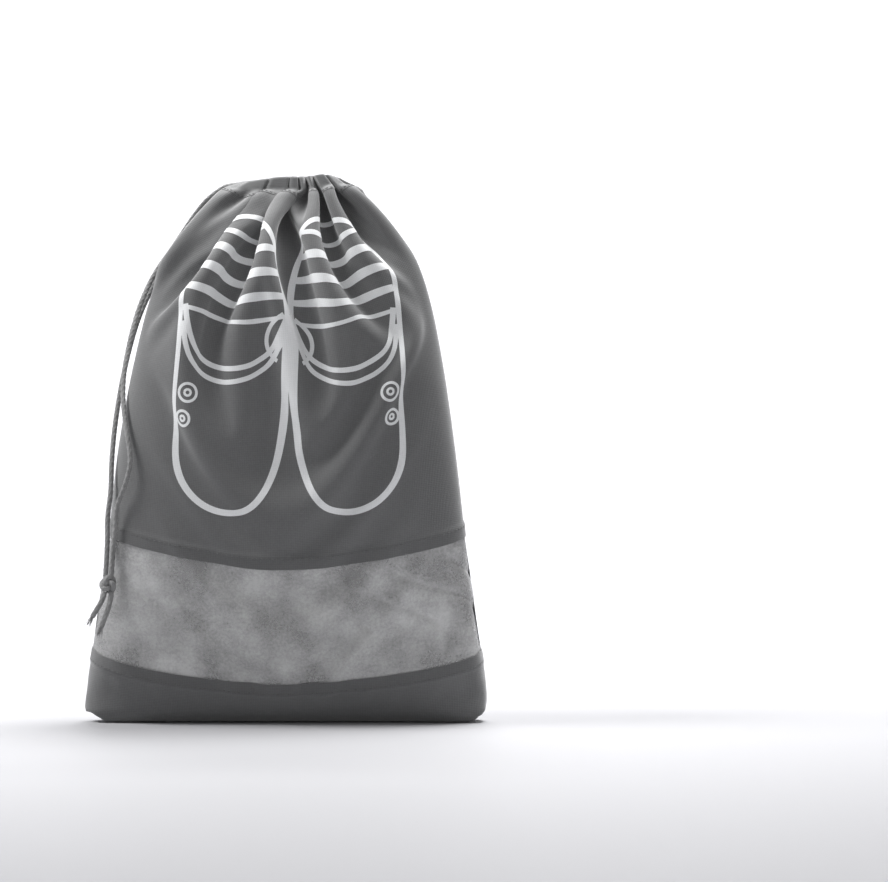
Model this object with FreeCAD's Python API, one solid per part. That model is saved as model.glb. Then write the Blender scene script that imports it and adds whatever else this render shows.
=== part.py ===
"""Drawstring shoe bag: a flat-cut pouch of non-woven cloth with a clear film window across the front, standing
filled on its bottom seam with its mouth drawn shut.

Frame: millimetres, +Z up, the front faces -Y, +X is to the right seen from the front. The origin is the middle of
the base on the ground. Each named node is one separate piece, written to parts/NODE.step.
"""

import FreeCAD, Part
import math
import os

V = FreeCAD.Vector

# Cloth, film and thread
FABRIC = 0.8            # non-woven cloth, with its loft
FILM = 0.4              # clear window film
THREAD = 0.25           # how far a stitch line stands off the cloth
THREAD_WIDTH = 0.7      # how tall a stitch line is

# The bag as it stands: (height, half width, half depth, shift to the right)
SECTIONS = [
    (0.0, 143.0, 24.0, 0.0),
    (14.0, 144.5, 36.0, 0.0),
    (60.0, 140.0, 44.0, 0.0),
    (130.0, 132.5, 48.5, 0.0),
    (200.0, 124.5, 50.5, 0.0),
    (255.0, 116.0, 49.0, 1.0),
    (300.0, 107.5, 45.0, 2.0),
    (338.0, 97.0, 39.0, 2.5),
    (366.0, 81.0, 32.0, 2.5),
    (386.0, 57.0, 25.0, 3.0),
    (392.0, 49.0, 22.3, 3.0),
]
NECK_Z = 386.0          # the walls stop here, and the last section only gives them their slope
SQUARENESS = 2.6        # 2 is an ellipse, more is nearer a rounded box
OUTLINE_POINTS = 28     # points of one section's smooth closed outline
FAR = 300.0             # larger than the bag, for cutting tools

# Window: its lower and upper edges sag, (height in the middle, height at the sides)
WINDOW_LOW = (23.0, 43.0)
WINDOW_HIGH = (108.0, 127.0)
SIDE_X = 134.0          # where an edge reaches its height at the sides
EDGE_REACH = 160.0      # half the length of the arc that cuts an edge, past the bag's sides
HEM = 10.0              # cloth folded inwards along each window edge
SEWN_MARGIN = 8.0       # film tucked behind the cloth
STITCH_LIFT = 8.0       # from the folded edge to its stitch line
SEAM_ALLOWANCE = 9.0
SEAM_GAP = 0.2          # between an allowance and the wall beside it
SEAM_LOW_Z = 12.0

# Mouth: a folded channel that narrows upwards, in a front and a back half, with the cord inside it
MOUTH_GAP = 0.3         # between the moving channel and the neck below it
MOUTH_TOP_Z = 403.0
MOUTH_LOW = (54.0, 24.0)    # half width and half depth at its lower edge
MOUTH_HIGH = (38.0, 16.0)
MOUTH_X = 4.0
CHANNEL_DEPTH = 8.5     # outside face to inside face, with the gathers
HALVES_GAP = 0.4
CHANNEL_STITCH_Z = 388.6

# Cord
CORD = 3.8
TUNNEL = 4.8
CORD_Z = 394.0
EXIT_X = -45.5          # where the tails start, at the left end of the channel
EXIT_Y = 2.05
EXIT_GAP = 0.3
BEND_TURN = 62.0        # at the left end the channel's cord turns this far, then back, to leave it
RIGHT_END_TURN = 80.0   # at the right end, where the two halves of the cord meet
KNOT_X, KNOT_Y = -127.0, -31.0
KNOT_LOW_Z = 97.0
KNOT_TOP_Z = 108.3
KNOT_RADIUS = 6.4
KNOT_ROUND = 2.4
KNOT_GAP = 0.1          # between the tails and the knot, which moves

# The tails go over the back of the left shoulder and come round to the front of the left flank
TAIL_FRONT = [
    (EXIT_X, -EXIT_Y, CORD_Z),
    (-57.0, 2.0, 388.0),
    (-70.0, 14.5, 374.5),
    (-85.0, 22.0, 353.0),
    (-98.5, 17.0, 330.0),
    (-108.5, 5.0, 304.0),
    (-113.5, -9.5, 274.0),
    (-117.0, -20.0, 246.0),
    (-112.5, -32.0, 218.0),
    (-106.5, -40.0, 193.0),
    (-111.5, -39.5, 175.0),
    (-119.8, -34.0, 159.0),
    (-120.8, -32.5, 141.0),
    (-124.0, -32.0, 123.5),
    (-124.9, -31.0, KNOT_TOP_Z),
]
TAIL_REAR = [
    (EXIT_X, EXIT_Y, CORD_Z),
    (-54.5, 12.0, 391.0),
    (-67.5, 24.0, 376.5),
    (-81.0, 28.0, 355.0),
    (-95.0, 23.5, 330.0),
    (-108.0, 13.0, 303.0),
    (-116.0, 2.0, 274.0),
    (-121.5, -8.0, 245.0),
    (-124.0, -16.0, 217.0),
    (-125.7, -23.0, 190.0),
    (-124.3, -27.5, 170.0),
    (-128.9, -27.0, 150.0),
    (-127.9, -29.5, 129.0),
    (-129.3, -31.0, KNOT_TOP_Z),
]
END_SHORT = [(-129.7, -32.0, KNOT_LOW_Z), (-131.0, -33.5, 91.5), (-135.0, -33.5, 85.0), (-139.0, -32.0, 79.0)]
END_LONG = [(-124.8, -32.0, KNOT_LOW_Z), (-125.5, -33.5, 89.0), (-128.8, -34.5, 80.0), (-132.5, -33.0, 71.5)]


def outline(z, half_width, half_depth, shift):
    """Closed smooth outline of a horizontal section, a superellipse."""
    points = []
    for i in range(OUTLINE_POINTS):
        angle = 2 * math.pi * i / OUTLINE_POINTS
        across, deep = math.cos(angle), math.sin(angle)
        x = math.copysign(abs(across) ** (2 / SQUARENESS), across) * half_width
        y = math.copysign(abs(deep) ** (2 / SQUARENESS), deep) * half_depth
        points.append(V(x + shift, y, z))
    curve = Part.BSplineCurve()
    curve.interpolate(Points=points, PeriodicFlag=True)
    return Part.Wire([curve.toShape()])


def filled(depth):
    """The bag's filled shape with its faces moved inwards by depth, which is negative outwards."""
    rows = [(z, a - depth, b - depth, shift) for z, a, b, shift in SECTIONS]
    rows[0] = (max(depth, 0.0), *rows[0][1:])
    return Part.makeLoft([outline(*row) for row in rows], True, False)


def box(x0, x1, y0, y1, z0, z1):
    return Part.makeBox(x1 - x0, y1 - y0, z1 - z0, V(x0, y0, z0))


def layer(outer_depth, inner_depth, y0, y1):
    """A skin of the bag between two depths, between two planes across Y."""
    return filled(outer_depth).cut(filled(inner_depth)).common(box(-FAR, FAR, y0, y1, 0, NECK_Z))


def edge_arc(edge, lift):
    """One window edge as an arc in a plane in front of the bag, past both its sides."""
    middle, side = edge
    end_z = middle + (side - middle) * (EDGE_REACH / SIDE_X) ** 2 + lift
    return Part.Arc(V(-EDGE_REACH, -FAR, end_z), V(0, -FAR, middle + lift), V(EDGE_REACH, -FAR, end_z)).toShape()


def between(low, low_lift, high, high_lift):
    """Everything in front of the middle plane between two window edges, each lifted by its distance."""
    lower, upper = edge_arc(low, low_lift), edge_arc(high, high_lift)
    sides = [Part.makeLine(lower.Vertexes[i].Point, upper.Vertexes[i].Point) for i in (0, 1)]
    wire = Part.Wire(Part.__sortEdges__([lower, sides[1], upper, sides[0]]))
    return Part.Face(wire).extrude(V(0, FAR, 0))


def below(edge, lift):
    arc = edge_arc(edge, lift)
    ends = [vertex.Point for vertex in arc.Vertexes]
    corners = [V(point.x, point.y, -FAR) for point in ends]
    lines = [Part.makeLine(ends[0], corners[0]), Part.makeLine(*corners), Part.makeLine(corners[1], ends[1])]
    return Part.Face(Part.Wire(Part.__sortEdges__([arc, *lines]))).extrude(V(0, FAR, 0))


def stadium(z, half_width, half_depth):
    """Closed outline of two half circles and two straights."""
    centre = half_width - half_depth
    points = [(-centre, -half_depth), (centre, -half_depth), (centre, half_depth), (-centre, half_depth)]
    a, b, c, d = [V(x + MOUTH_X, y, z) for x, y in points]
    right, left = V(half_width + MOUTH_X, 0, z), V(-half_width + MOUTH_X, 0, z)
    edges = [Part.LineSegment(a, b), Part.Arc(b, right, c), Part.LineSegment(c, d), Part.Arc(d, left, a)]
    return Part.Wire([edge.toShape() for edge in edges])


def mouth_size(z, inset=0.0):
    """Half width and half depth of the channel's outer face at a height."""
    low_z = NECK_Z + MOUTH_GAP
    part = (z - low_z) / (MOUTH_TOP_Z - low_z)
    return [low + (high - low) * part - inset for low, high in zip(MOUTH_LOW, MOUTH_HIGH)]


def mouth_ring(z0, z1, outer_inset, inner_inset):
    outer = Part.makeLoft([stadium(z, *mouth_size(z, outer_inset)) for z in (z0, z1)], True, True)
    inner = Part.makeLoft([stadium(z, *mouth_size(z, inner_inset)) for z in (z0, z1)], True, True)
    return outer.cut(inner)


def tube(wire, diameter):
    start = wire.OrderedVertexes[0].Point
    edge = wire.OrderedEdges[0]
    tangent = edge.tangentAt(edge.FirstParameter)
    if (edge.valueAt(edge.FirstParameter) - start).Length > 1e-6:
        tangent = edge.tangentAt(edge.LastParameter)
    profile = Part.Wire([Part.makeCircle(diameter / 2, start, tangent)])
    return wire.makePipeShell([profile], True, False)


def channel_cord_path(side, end_x):
    """The cord in one half of the channel: a straight, and at the left end a bend and a bend back to the exit."""
    half_width, half_depth = mouth_size(CORD_Z, CHANNEL_DEPTH / 2)
    centre = half_width - half_depth
    turn = math.radians(BEND_TURN)
    bend = half_depth
    sideways = half_depth - EXIT_Y - bend * (1 - math.cos(turn))
    back = sideways / (1 - math.cos(turn))
    middle = V(MOUTH_X - centre, 0, CORD_Z)

    def on_bend(angle):
        return middle + V(-bend * math.sin(angle), side * bend * math.cos(angle), 0)

    turned = on_bend(turn)
    pivot = turned + V(-back * math.sin(turn), side * back * math.cos(turn), 0)

    def on_return(angle):
        return pivot + V(back * math.sin(angle), -side * back * math.cos(angle), 0)

    exit_point = on_return(0)
    far_right = V(MOUTH_X + centre, side * bend, CORD_Z)
    right_turn = math.radians(RIGHT_END_TURN)
    right_end, right_mid = [far_right + V(bend * math.sin(angle), side * bend * (math.cos(angle) - 1), 0)
                            for angle in (right_turn, right_turn / 2)]
    outside = V(end_x, exit_point.y, CORD_Z)
    edges = [
        Part.Arc(right_end, right_mid, far_right),
        Part.LineSegment(far_right, on_bend(0)),
        Part.Arc(on_bend(0), on_bend(turn / 2), turned),
        Part.Arc(turned, on_return(turn / 2), exit_point),
        Part.LineSegment(exit_point, outside),
    ]
    return Part.Wire([edge.toShape() for edge in edges])


def rounded_route(name, points):
    """Straight runs joined by tangent arcs, each as large as its two runs allow."""
    points = [V(*point) for point in points]
    edges, start, radii = [], points[0], []
    for before, corner, after in zip(points, points[1:], points[2:]):
        back, ahead = before - corner, after - corner
        reach = 0.45 * min(back.Length, ahead.Length)
        turn = math.pi - back.getAngle(ahead)
        radius = reach / math.tan(turn / 2)
        back.normalize()
        ahead.normalize()
        inward = back + ahead
        inward.normalize()
        first, last = corner + back * reach, corner + ahead * reach
        nearest = corner + inward * (math.hypot(radius, reach) - radius)
        edges += [Part.LineSegment(start, first), Part.Arc(first, nearest, last)]
        start = last
        radii.append(round(radius, 1))
    edges.append(Part.LineSegment(start, points[-1]))
    wire = Part.Wire([edge.toShape() for edge in edges])
    print(name, "length", round(wire.Length, 1), "arc radii", radii)
    return wire


def free_cord(name, points):
    wire = rounded_route(name, points)
    solid = tube(wire, CORD)
    section = math.pi * CORD ** 2 / 4
    print(name, "volume over section times length", round(solid.Volume / (section * wire.Length), 4))
    return solid


def seam_allowance(side):
    """The edges of both panels, sewn and standing inwards along a side seam."""
    inner = FABRIC + FILM + FABRIC + SEAM_GAP
    ring = filled(inner).cut(filled(inner + SEAM_ALLOWANCE))
    left, right = (-FAR, 0) if side < 0 else (0, FAR)
    return ring.common(box(left, right, -FABRIC, FABRIC, SEAM_LOW_Z, NECK_Z - SEAM_LOW_Z))


def bottom_allowance():
    half_width = SECTIONS[0][1] - SEAM_LOW_Z
    low_z = FABRIC + SEAM_GAP
    return box(-half_width, half_width, -FABRIC, FABRIC, low_z, low_z + SEAM_ALLOWANCE)


def knot():
    solid = Part.makeCylinder(KNOT_RADIUS, KNOT_TOP_Z - KNOT_LOW_Z, V(KNOT_X, KNOT_Y, KNOT_LOW_Z))
    rims = [edge for edge in solid.Edges if isinstance(edge.Curve, Part.Circle)]
    return solid.makeFillet(KNOT_ROUND, rims)


def window_parts():
    cloth = layer(0, FABRIC, -FAR, 0)
    film = layer(FABRIC, FABRIC + FILM, -FAR, 0)
    turned_back = layer(FABRIC + FILM, 2 * FABRIC + FILM, -FAR, 0)
    thread = layer(-THREAD, 0, -FAR, 0)
    return {
        "front_upper_panel": cloth.cut(below(WINDOW_HIGH, 0)),
        "front_lower_band": cloth.common(below(WINDOW_LOW, 0)),
        "clear_window": film.common(between(WINDOW_LOW, -SEWN_MARGIN, WINDOW_HIGH, SEWN_MARGIN)),
        "window_top_hem": turned_back.common(between(WINDOW_HIGH, 0, WINDOW_HIGH, HEM)),
        "window_bottom_hem": turned_back.common(between(WINDOW_LOW, -HEM, WINDOW_LOW, 0)),
        "window_top_stitching": thread.common(
            between(WINDOW_HIGH, STITCH_LIFT, WINDOW_HIGH, STITCH_LIFT + THREAD_WIDTH)),
        "window_bottom_stitching": thread.common(
            between(WINDOW_LOW, -STITCH_LIFT - THREAD_WIDTH, WINDOW_LOW, -STITCH_LIFT)),
    }


def mouth_parts(name, side):
    low_z = NECK_Z + MOUTH_GAP
    near, far = sorted((side * HALVES_GAP / 2, side * FAR))
    half = box(-FAR, FAR, near, far, 0, 2 * FAR)
    tunnel = tube(channel_cord_path(side, EXIT_X - TUNNEL), TUNNEL)
    cord = tube(channel_cord_path(side, EXIT_X + CORD / 2 + EXIT_GAP), CORD)
    channel = mouth_ring(low_z, MOUTH_TOP_Z, 0, CHANNEL_DEPTH).common(half).cut(tunnel)
    stitches = mouth_ring(CHANNEL_STITCH_Z, CHANNEL_STITCH_Z + THREAD_WIDTH, -THREAD, 0).common(half)
    return {
        name + "_mouth_channel": channel,
        name + "_channel_stitching": stitches,
        "drawcord_" + name: cord,
    }


def tail(name, points):
    """A tail with a round end at the exit, where it swings, and a flat one just above the knot."""
    swinging = free_cord(name, points).fuse(Part.makeSphere(CORD / 2, V(*points[0])))
    return swinging.common(box(-FAR, FAR, -FAR, FAR, KNOT_TOP_Z + KNOT_GAP, 2 * FAR))


parts = {
    "back_panel": layer(0, FABRIC, 0, FAR),
    **window_parts(),
    "left_seam_allowance": seam_allowance(-1),
    "right_seam_allowance": seam_allowance(1),
    "bottom_seam_allowance": bottom_allowance(),
    **mouth_parts("front", -1),
    **mouth_parts("back", 1),
    "cord_tail_front": tail("cord_tail_front", TAIL_FRONT),
    "cord_tail_rear": tail("cord_tail_rear", TAIL_REAR),
    "cord_knot": knot(),
    "cord_end_short": free_cord("cord_end_short", END_SHORT),
    "cord_end_long": free_cord("cord_end_long", END_LONG),
}

os.makedirs("parts", exist_ok=True)
for name, shape in parts.items():
    shape.exportStep("parts/" + name + ".step")
    size = shape.BoundBox
    print(name, "solids", len(shape.Solids), "valid", shape.isValid(), "volume", round(shape.Volume),
          "box", [round(v, 1) for v in (size.XMin, size.XMax, size.YMin, size.YMax, size.ZMin, size.ZMax)])
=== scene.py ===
"""Looks for the drawstring shoe bag: draped cloth, clear film, cord, print and stitches over the CAD frame.

Metres, +Z up, the front faces -Y. The cloth is two flat panels, sewn together at the sides and the bottom.
A short solver in this script drapes them over the filled shape that the CAD walls give, with the mouth held
in pleats.
"""
import math

import bpy
import numpy as np
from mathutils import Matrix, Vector
from mathutils.bvhtree import BVHTree


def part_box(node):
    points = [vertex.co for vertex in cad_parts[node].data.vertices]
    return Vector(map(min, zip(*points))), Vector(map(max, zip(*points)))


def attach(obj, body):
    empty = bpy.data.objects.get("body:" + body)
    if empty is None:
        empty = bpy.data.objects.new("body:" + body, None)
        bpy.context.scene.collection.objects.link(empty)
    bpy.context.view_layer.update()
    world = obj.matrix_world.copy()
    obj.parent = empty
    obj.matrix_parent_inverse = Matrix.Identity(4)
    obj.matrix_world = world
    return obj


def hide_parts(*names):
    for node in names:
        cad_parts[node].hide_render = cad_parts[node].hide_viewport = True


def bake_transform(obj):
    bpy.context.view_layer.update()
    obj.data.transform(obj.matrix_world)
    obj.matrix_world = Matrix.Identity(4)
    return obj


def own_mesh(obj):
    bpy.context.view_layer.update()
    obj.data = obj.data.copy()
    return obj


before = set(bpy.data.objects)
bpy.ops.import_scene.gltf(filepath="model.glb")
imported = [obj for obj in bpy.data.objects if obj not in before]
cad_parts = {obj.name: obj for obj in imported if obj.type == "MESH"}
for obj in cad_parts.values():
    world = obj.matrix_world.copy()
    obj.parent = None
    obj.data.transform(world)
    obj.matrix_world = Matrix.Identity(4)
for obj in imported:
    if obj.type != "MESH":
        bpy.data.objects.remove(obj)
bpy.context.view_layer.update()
MM = 0.001

# ---------------------------------------------------------------- driving sizes
FLAT_WIDTH = 0.320
FLAT_HEIGHT = 0.440
WINDOW_LOW = 0.050          # heights on the flat panel, at its middle
WINDOW_HIGH = 0.137
WINDOW_RISE = 0.017         # how much higher the window's edges are at the side seams
LEVEL_FROM = 0.260          # from this flat height up, the cloth's rows are level again
CHANNEL_LOW = 0.424
CORD_ROW_Z = 0.394
MOUTH_TOP_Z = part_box("front_mouth_channel")[1].z
HEM = 0.010
STITCH_INSET = 0.008
CLOTH = 0.0005
FILM = 0.0003
CORD = 0.0038

# The cord's route: the CAD part's points, moved out a few millimetres where the draped cloth is fuller
EXIT_X, EXIT_Y, CORD_Z = -0.0455, 0.00205, CORD_ROW_Z
KNOT_TOP_Z, KNOT_LOW_Z = 0.1083, 0.0970
TAIL_FRONT = [
    (EXIT_X, -EXIT_Y, CORD_Z),
    (-0.0570, 0.0020, 0.3880),
    (-0.0700, 0.0145, 0.3745),
    (-0.0850, 0.0220, 0.3530),
    (-0.1010, 0.0175, 0.3300),
    (-0.1110, 0.0050, 0.3040),
    (-0.1170, -0.0100, 0.2740),
    (-0.1200, -0.0225, 0.2460),
    (-0.1160, -0.0370, 0.2180),
    (-0.1105, -0.0445, 0.1930),
    (-0.1150, -0.0435, 0.1750),
    (-0.1225, -0.0375, 0.1590),
    (-0.1235, -0.0365, 0.1410),
    (-0.1253, -0.0360, 0.1235),
    (-0.1261, -0.0360, KNOT_TOP_Z),
]
TAIL_REAR = [
    (EXIT_X, EXIT_Y, CORD_Z),
    (-0.0545, 0.0120, 0.3910),
    (-0.0675, 0.0240, 0.3765),
    (-0.0810, 0.0280, 0.3550),
    (-0.0975, 0.0245, 0.3300),
    (-0.1100, 0.0130, 0.3030),
    (-0.1175, 0.0020, 0.2740),
    (-0.1225, -0.0080, 0.2450),
    (-0.1260, -0.0165, 0.2170),
    (-0.1275, -0.0240, 0.1900),
    (-0.1270, -0.0300, 0.1700),
    (-0.1300, -0.0300, 0.1500),
    (-0.1292, -0.0335, 0.1290),
    (-0.1305, -0.0360, KNOT_TOP_Z),
]
END_SHORT = [
    (-0.1309, -0.0370, KNOT_LOW_Z),
    (-0.1322, -0.0385, 0.0915),
    (-0.1362, -0.0380, 0.0850),
    (-0.1400, -0.0360, 0.0790),
]
END_LONG = [
    (-0.1260, -0.0370, KNOT_LOW_Z),
    (-0.1267, -0.0385, 0.0890),
    (-0.1300, -0.0390, 0.0800),
    (-0.1335, -0.0370, 0.0715),
]


# ---------------------------------------------------------------- cord
def nurbs_line(points, resolution=24):
    """Points along the smooth NURBS line that the cord follows."""
    curve = bpy.data.curves.new("route", "CURVE")
    curve.dimensions = "3D"
    spline = curve.splines.new("NURBS")
    spline.points.add(len(points) - 1)
    for point, place in zip(spline.points, points):
        point.co = (*place, 1.0)
    spline.order_u = 3
    spline.use_endpoint_u = True
    spline.resolution_u = resolution
    holder = bpy.data.objects.new("route", curve)
    mesh = bpy.data.meshes.new_from_object(holder)
    line = np.array([vertex.co for vertex in mesh.vertices])
    bpy.data.objects.remove(holder)
    bpy.data.curves.remove(curve)
    bpy.data.meshes.remove(mesh)
    return line


def distance_along(line):
    """How far each point of a line is from its start, measured along the line."""
    return np.r_[0, np.cumsum(np.linalg.norm(np.diff(line, axis=0), axis=1))]


def points_at(line, wanted):
    """The points at the wanted distances along a line."""
    along = distance_along(line)
    return np.stack([np.interp(wanted, along, column) for column in line.T], axis=1)


def evenly(line, step):
    """The same line with its points a step apart."""
    length = distance_along(line)[-1]
    count = max(2, int(round(length / step)) + 1)
    return points_at(line, np.linspace(0, length, count))


def carried_frames(line):
    """Two directions across a line at each point, carried along it without twist."""
    tangent = np.gradient(line, axis=0)
    tangent /= np.linalg.norm(tangent, axis=1)[:, None]
    first = np.cross(tangent[0], (0.3, 0.9, 0.2))
    across = []
    for t in tangent:
        first = first - t * (first @ t)
        first /= np.linalg.norm(first)
        across.append(first)
    across = np.array(across)
    return across, np.cross(tangent, across)


def new_object(name, vertices, faces, material):
    mesh = bpy.data.meshes.new(name)
    mesh.from_pydata([tuple(v) for v in vertices], [], [tuple(int(i) for i in f) for f in faces])
    mesh.validate()
    mesh.polygons.foreach_set("use_smooth", [True] * len(mesh.polygons))
    mesh.materials.append(material)
    piece = bpy.data.objects.new(name, mesh)
    bpy.context.scene.collection.objects.link(piece)
    return piece


def braided_tube(line, radius, around=20, strands=8, lay=0.0052):
    """Vertices and faces of a closed tube whose surface rises and falls as a braid's strands do."""
    across, over = carried_frames(line)
    along = distance_along(line)
    angle = np.arange(around) * 2 * math.pi / around
    turns = strands / 2
    right = np.cos(turns * (angle[None] + 2 * math.pi * along[:, None] / (lay * turns)))
    left = np.cos(turns * (angle[None] - 2 * math.pi * along[:, None] / (lay * turns)))
    relief = np.maximum(right, left)
    reach = radius * (0.86 + 0.15 * relief)
    rings = line[:, None] + reach[..., None] * (np.cos(angle)[None, :, None] * across[:, None]
                                               + np.sin(angle)[None, :, None] * over[:, None])
    count = len(line)
    vertices = np.concatenate([rings.reshape(-1, 3), line[:1], line[-1:]])
    faces = []
    for i in range(count - 1):
        for j in range(around):
            k = (j + 1) % around
            faces.append((i * around + j, (i + 1) * around + j, (i + 1) * around + k, i * around + k))
    for j in range(around):
        k = (j + 1) % around
        faces.append((count * around, j, k))
        faces.append((count * around + 1, (count - 1) * around + k, (count - 1) * around + j))
    return vertices, faces


def cord_piece(name, points, step=0.0006):
    """A braided length of the cord along the NURBS line of the given points, and that line."""
    line = evenly(nurbs_line(points), step)
    vertices, faces = braided_tube(line, CORD / 2)
    return new_object(name, vertices, faces, CORD_MATERIAL), line


# ---------------------------------------------------------------- the cloth's grid and its start
CELLS_ACROSS = 100                      # of one panel; the ring of both has twice as many columns
CELLS_UP = [(0.0, CHANNEL_LOW, 116), (CHANNEL_LOW, FLAT_HEIGHT, 5)]
UNDER = 0.022                           # cloth turned under, from the bottom seam to the edge of the base
SQUARENESS = 3.3
TUCK_SPREAD = 0.009                     # half the side tucks' width, roughly
MOST_TUCK = 0.050                       # how far a side may tuck in
CORD_ROW = CHANNEL_LOW + (FLAT_HEIGHT - CHANNEL_LOW) / 2
PINNED_FROM = FLAT_HEIGHT - 0.010       # the cord holds the cloth from here up
MOUTH_DRAWN = 0.90                      # how far the pleats are drawn together
ROUNDING_PASSES = 6                     # how often the folds' corners are smoothed
MOUTH_FLARE = (25.0, 14.0)              # how fast the channel widens below the top edge, per metre
MOUTH_RIM_Z = MOUTH_TOP_Z - 0.0053      # the rim's height away from its crest
RIM_CREST = (0.0050, 0.028, 0.013)      # a rise in the rim: its height, middle x and half width
RIM_WAVE = (0.0018, 95.0)               # the rim's small ups and downs: height, and radians per metre
GATHERED_FROM = 0.345                   # flat height where the starting shape begins to turn into pleats
CLEAR = 0.0006                          # half the cloth's own room: from the ground, and from the other panel
# The contents' share of the CAD walls' size, heights and shares: the base is as deep as the girth allows
FILLED_WIDTH = ((0, 0.02, 0.06, 0.20), (0.90, 0.95, 1.00, 1.01))
FILLED_DEPTH = ((0, 0.03, 0.06, 0.13, 0.25, 0.34, 0.38), (0.52, 0.80, 0.87, 1.00, 1.06, 0.92, 0.55))

# The mouth seen from above, fold by fold, as (x, y) in millimetres: the front half from the left seam to the
# right one, and the back half on from there to the left seam
FRONT_PLEATS = [
    (-36, 0), (-40, -9), (-31, -17), (-14, -18), (-20, -9), (-12, -18), (2, -17), (-3, -10), (4, -18),
    (9, -17), (6, -10), (12, -18), (15, -10), (18, -19), (21, -10), (24, -18), (31, -20), (27, -11),
    (33, -19), (40, -15), (37, -9), (45, -9), (43, 0),
]
BACK_PLEATS = [
    (43, 0), (47, 9), (36, 16), (25, 18), (30, 10), (22, 18), (12, 19), (15, 11), (10, 18), (5, 18),
    (7, 10), (1, 19), (-2, 11), (-5, 18), (-10, 19), (-8, 11), (-15, 18), (-24, 18), (-19, 10),
    (-30, 16), (-38, 9), (-36, 0),
]


def row_heights():
    """The flat height of each row of the cloth's grid."""
    heights = [0.0]
    for low, high, cells in CELLS_UP:
        heights += list(np.linspace(low, high, cells + 1)[1:])
    return np.array(heights)


def wall_profile():
    """Rows of (height, half width, half depth, middle x, tuck) of the filled shape inside the CAD walls."""
    tree = BVHTree.FromObject(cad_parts["back_panel"], bpy.context.evaluated_depsgraph_get())
    rows = []
    for z in np.linspace(0.004, 0.384, 50):
        left = tree.ray_cast(Vector((-1, 0.002, z)), Vector((1, 0, 0)))[0].x
        right = tree.ray_cast(Vector((1, 0.002, z)), Vector((-1, 0, 0)))[0].x
        middle = (left + right) / 2
        deep = tree.ray_cast(Vector((middle, 1, z)), Vector((0, -1, 0)))[0].y
        half_width = (right - left) / 2
        rows.append((z, half_width, deep, middle, tuck_for(half_width, deep) * smooth_step(z, 0.02, 0.12)))
    for z, share in ((CORD_ROW_Z - 0.003, 0.80), (MOUTH_TOP_Z, 0.58)):
        half_width, deep, middle = rows[-1][1:4]
        rows.append((z, half_width * share, deep * share, middle, 0.0))
    return np.array(rows)


def outline_at(half_width, half_depth, middle, tuck):
    """A closed line round a section: a superellipse whose two sides are tucked in along the side seams."""
    angle = np.linspace(0, 2 * math.pi, 1441)
    across, deep = -np.cos(angle), -np.sin(angle)
    x = np.sign(across) * np.abs(across) ** (2 / SQUARENESS) * half_width
    y = np.sign(deep) * np.abs(deep) ** (2 / SQUARENESS) * half_depth
    x -= np.sign(x) * tuck * np.exp(-(y / TUCK_SPREAD) ** 2)
    return np.stack([x + middle, y], axis=1)


def line_length(line):
    return np.linalg.norm(np.diff(line, axis=0), axis=1).sum()


def tuck_for(half_width, half_depth):
    """How far the sides tuck in for the section to take up the cloth's whole girth."""
    low, high = 0.0, MOST_TUCK
    for _ in range(18):
        tuck = (low + high) / 2
        if line_length(outline_at(half_width, half_depth, 0, tuck)) < 2 * FLAT_WIDTH:
            low = tuck
        else:
            high = tuck
    return low


def ring_at(half_width, half_depth, middle, tuck, count):
    """Evenly spaced points round a section, from the left seam past the front to the right seam and back."""
    line = outline_at(half_width, half_depth, middle, tuck)
    along = distance_along(line)
    front_centre = along[len(along) // 4]
    return points_at(line, (front_centre + along[-1] * (np.arange(count) / count - 0.25)) % along[-1])


def pleated_ring(count):
    """The drawn mouth from above: both lists of folds, rounded, with evenly spaced points along each."""
    halves = []
    for pleats in (FRONT_PLEATS, BACK_PLEATS):
        line = evenly(np.array([(x * MM * MOUTH_DRAWN, y * MM, 0.0) for x, y in pleats]), 0.0004)[:, :2]
        for _ in range(ROUNDING_PASSES):
            line[1:-1] = (line[:-2] + 2 * line[1:-1] + line[2:]) / 4
        halves.append(points_at(line, np.linspace(0, distance_along(line)[-1], count // 2 + 1)[:-1]))
    return np.concatenate(halves)


def smooth_step(value, low, high):
    """From 0 at low to 1 at high, level at both."""
    part = np.clip((value - low) / (high - low), 0, 1)
    return part * part * (3 - 2 * part)


def mouth_row(t, mouth):
    """One row of the gathered channel: the pleats, wider and lower the further it is below the top edge."""
    below = FLAT_HEIGHT - t
    centre = mouth.mean(axis=0)
    ring = centre + (mouth - centre) * (1 + below * np.array(MOUTH_FLARE))
    moved = np.linalg.norm(ring - mouth, axis=1)
    rise, crest_x, spread = RIM_CREST
    wave, turns = RIM_WAVE
    crest = rise * np.exp(-((mouth[:, 0] - crest_x) / spread) ** 2) + wave * np.cos(mouth[:, 0] * turns)
    top = MOUTH_RIM_Z + crest
    z = top - np.sqrt(np.clip(below ** 2 - moved ** 2, (0.35 * below) ** 2, None))
    return np.c_[ring, z]


def start_shape(heights, profile):
    """Where the solver starts: rings round the filled shape that turn into the pleats below the mouth."""
    count = 2 * CELLS_ACROSS
    mouth = pleated_ring(count)
    rings = []
    for t in heights:
        held = mouth_row(t, mouth)
        z = max(CLEAR, (t - UNDER) / (CORD_ROW - UNDER) * CORD_ROW_Z)
        half_width, half_depth, middle, tuck = [np.interp(z, profile[:, 0], profile[:, k])
                                                for k in (1, 2, 3, 4)]
        half_depth *= np.interp(z, (0, 0.03), (UNDER / half_depth, 1.0))
        if t < UNDER:
            half_depth *= max(t / UNDER, 0.01)
        plain = np.c_[ring_at(half_width, half_depth, middle, tuck, count), np.full(count, z)]
        share = smooth_step(t, GATHERED_FROM, PINNED_FROM)
        rings.append(plain + (held - plain) * share)
    return np.array(rings)


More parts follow.
